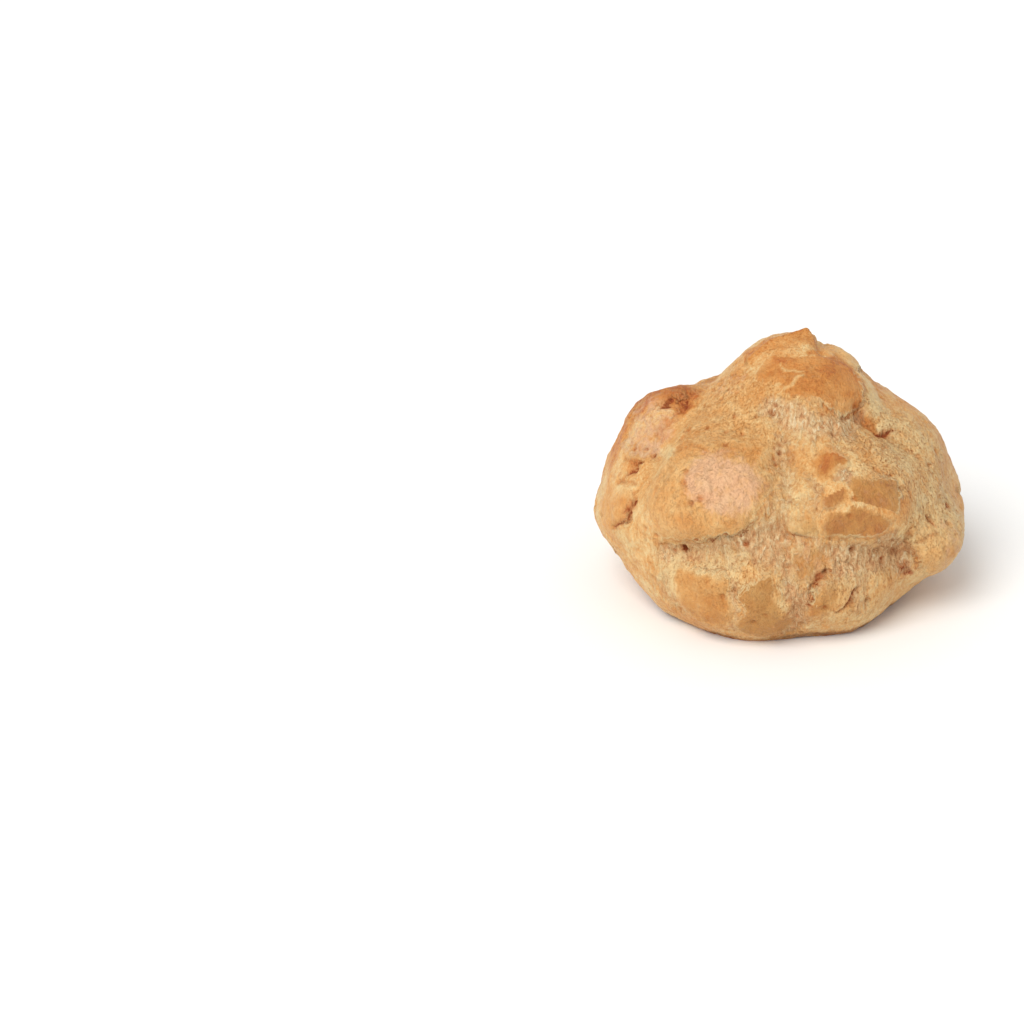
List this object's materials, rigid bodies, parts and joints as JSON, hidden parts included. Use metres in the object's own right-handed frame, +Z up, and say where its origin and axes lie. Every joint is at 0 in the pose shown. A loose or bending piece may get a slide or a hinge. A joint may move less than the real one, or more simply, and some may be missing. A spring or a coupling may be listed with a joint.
{
  "type": "cream puff",
  "caption": "Cream puff: one baked ball of choux pastry with a flat underside, uneven risen lobes, torn folds and a small peak of crust on top.",
  "frame": {"origin": "centre of the underside, on the surface that the puff stands on", "axes": "+Z up through the crown; -Y towards the side with the two front cheeks; +X across the puff's widest way, towards the knuckle at its foot"},
  "size_m": [0.075, 0.065, 0.0545],
  "materials": {
    "baked_crust": "baked choux crust, golden brown, dry and dull with a slight sheen on the smooth plates"
  },
  "bodies": {
    "root": {"puff": "baked_crust"}
  },
  "joints": []
}
